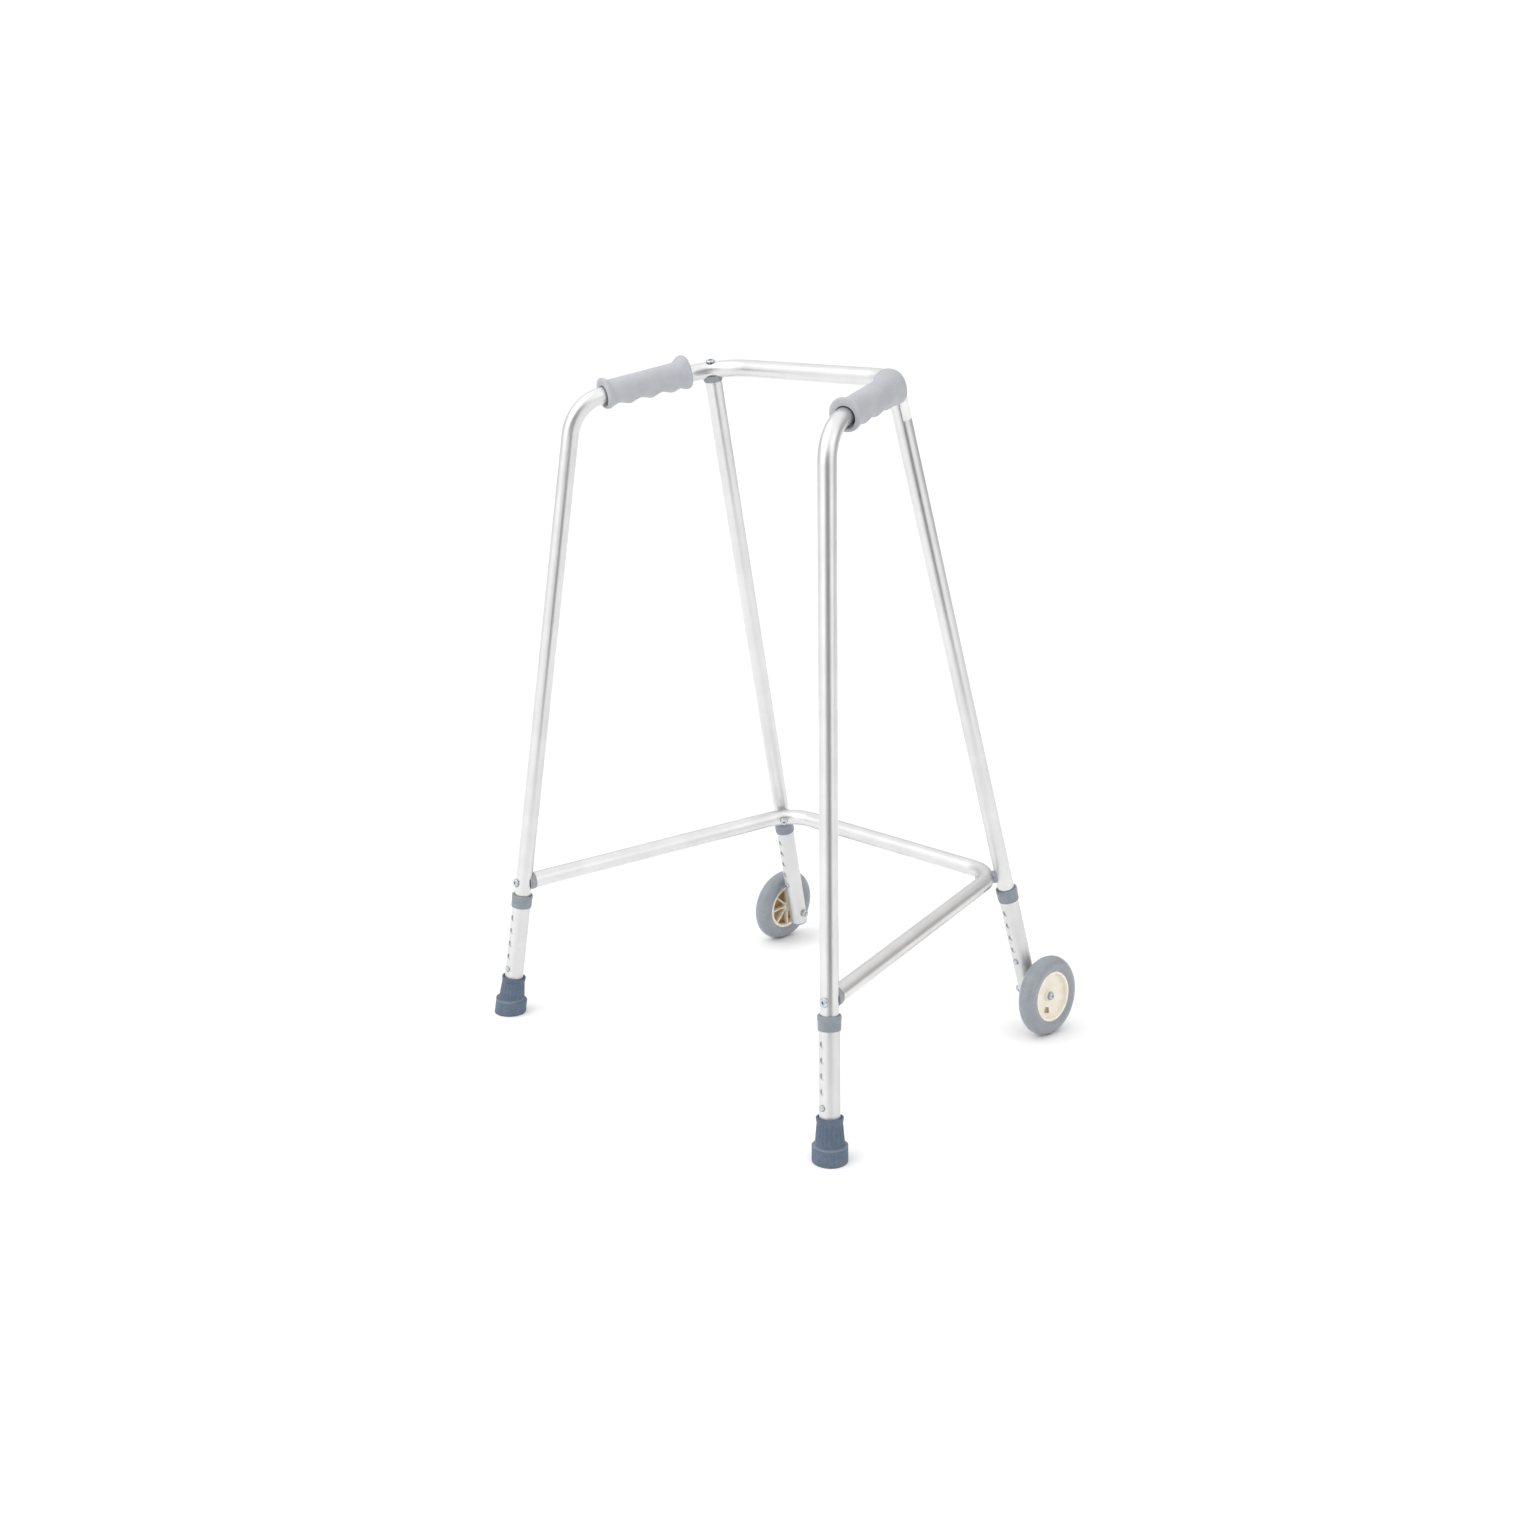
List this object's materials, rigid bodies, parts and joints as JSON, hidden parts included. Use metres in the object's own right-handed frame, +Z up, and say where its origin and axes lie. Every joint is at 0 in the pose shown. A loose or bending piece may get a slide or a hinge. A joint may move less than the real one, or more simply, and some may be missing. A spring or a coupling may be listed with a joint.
{
  "type": "walking frame",
  "caption": "Wheeled walking frame of bent aluminium tube with hand grips, telescopic legs on snap buttons, rear rubber feet and front wheels.",
  "frame": {"origin": "middle of the footprint's box, on the floor", "axes": "+X to the user's right, +Y forward towards the crossbar and wheels, +Z up"},
  "size_m": [0.6632, 0.5618, 0.8986],
  "materials": {
    "anodised_tube": "satin",
    "grip_plastic": "soft-touch matt",
    "collar_plastic": "moulded matt",
    "saddle_plastic": "moulded matt",
    "foot_rubber": "matt",
    "tyre_rubber": "satin",
    "hub_plastic": "semi-gloss",
    "bearing_plastic": "matt",
    "bright_steel": "polished",
    "zinc_steel": "zinc plated",
    "label_film": "film"
  },
  "bodies": {
    "frame": {"top_tube": "anodised_tube", "brace_tube": "anodised_tube", "front_leg_left": "anodised_tube", "leg_saddle_left": "saddle_plastic", "front_leg_right": "anodised_tube", "leg_saddle_right": "saddle_plastic", "leg_top_bolts": "bright_steel", "leg_top_nuts": "zinc_steel", "brace_end_saddle_left": "saddle_plastic", "brace_end_saddle_right": "saddle_plastic", "brace_rear_screws": "bright_steel", "brace_rear_nuts": "zinc_steel", "brace_corner_spacer_left": "saddle_plastic", "brace_corner_spacer_right": "saddle_plastic", "brace_corner_screws": "bright_steel", "brace_corner_nuts": "zinc_steel", "grip_left": "grip_plastic", "grip_right": "grip_plastic", "blank_label": "label_film", "button_spring_rear_left": "zinc_steel", "button_spring_rear_right": "zinc_steel", "button_spring_front_left": "zinc_steel", "button_spring_front_right": "zinc_steel"},
    "lower_leg_rear_left": {"rear_lower_tube_left": "anodised_tube", "collar_rear_left": "collar_plastic", "foot_left": "foot_rubber", "foot_plate_left": "zinc_steel"},
    "lower_leg_front_left": {"front_lower_tube_left": "anodised_tube", "collar_front_left": "collar_plastic", "leg_end_plug_left": "saddle_plastic", "axle_spacer_left": "bearing_plastic", "axle_washers_left": "zinc_steel", "axle_bolt_left": "bright_steel", "axle_nut_left": "zinc_steel"},
    "wheel_left": {"tyre_left": "tyre_rubber", "wheel_hub_left": "hub_plastic", "wheel_bush_left": "zinc_steel"},
    "button_rear_left": {"snap_button_rear_left": "bright_steel"},
    "button_front_left": {"snap_button_front_left": "bright_steel"},
    "lower_leg_rear_right": {"rear_lower_tube_right": "anodised_tube", "collar_rear_right": "collar_plastic", "foot_right": "foot_rubber", "foot_plate_right": "zinc_steel"},
    "lower_leg_front_right": {"front_lower_tube_right": "anodised_tube", "collar_front_right": "collar_plastic", "leg_end_plug_right": "saddle_plastic", "axle_spacer_right": "bearing_plastic", "axle_washers_right": "zinc_steel", "axle_bolt_right": "bright_steel", "axle_nut_right": "zinc_steel"},
    "wheel_right": {"tyre_right": "tyre_rubber", "wheel_hub_right": "hub_plastic", "wheel_bush_right": "zinc_steel"},
    "button_rear_right": {"snap_button_rear_right": "bright_steel"},
    "button_front_right": {"snap_button_front_right": "bright_steel"}
  },
  "joints": [
    {"name": "leg_height_rear_left", "type": "slide", "parent": "frame", "child": "lower_leg_rear_left", "axis": [-0.1015, -0.0783, -0.9918], "range_m": [0, 0.0762], "deforming": ["snap_button_rear_left"]},
    {"name": "leg_height_front_left", "type": "slide", "parent": "frame", "child": "lower_leg_front_left", "axis": [-0.0726, 0.2746, -0.9588], "range_m": [0, 0.0762], "deforming": ["snap_button_front_left"]},
    {"name": "button_press_rear_left", "type": "slide", "parent": "frame", "child": "button_rear_left", "axis": [-0.008, 0.9969, -0.0779], "range_m": [0, 0.0043], "stiffness_N_per_m": 1500, "springref_m": -0.002, "deforming": ["button_spring_rear_left"]},
    {"name": "button_press_front_left", "type": "slide", "parent": "frame", "child": "button_front_left", "axis": [0.0207, 0.9616, 0.2738], "range_m": [0, 0.0043], "stiffness_N_per_m": 1500, "springref_m": -0.002, "deforming": ["button_spring_front_left"]},
    {"name": "leg_height_rear_right", "type": "slide", "parent": "frame", "child": "lower_leg_rear_right", "axis": [0.1015, -0.0783, -0.9918], "range_m": [0, 0.0762], "deforming": ["snap_button_rear_right"]},
    {"name": "leg_height_front_right", "type": "slide", "parent": "frame", "child": "lower_leg_front_right", "axis": [0.0726, 0.2746, -0.9588], "range_m": [0, 0.0762], "deforming": ["snap_button_front_right"]},
    {"name": "button_press_rear_right", "type": "slide", "parent": "frame", "child": "button_rear_right", "axis": [0.008, 0.9969, -0.0779], "range_m": [0, 0.0043], "stiffness_N_per_m": 1500, "springref_m": -0.002, "deforming": ["button_spring_rear_right"]},
    {"name": "button_press_front_right", "type": "slide", "parent": "frame", "child": "button_front_right", "axis": [-0.0207, 0.9616, 0.2738], "range_m": [0, 0.0043], "stiffness_N_per_m": 1500, "springref_m": -0.002, "deforming": ["button_spring_front_right"]},
    {"name": "wheel_spin_left", "type": "hinge", "parent": "lower_leg_front_left", "child": "wheel_left", "pos_m": [-0.25475, 0.22612, 0.05468], "axis": [0.9971, 0, -0.0755], "continuous": true},
    {"name": "wheel_spin_right", "type": "hinge", "parent": "lower_leg_front_right", "child": "wheel_right", "pos_m": [0.25475, 0.22612, 0.05468], "axis": [0.9971, 0, 0.0755], "continuous": true}
  ]
}
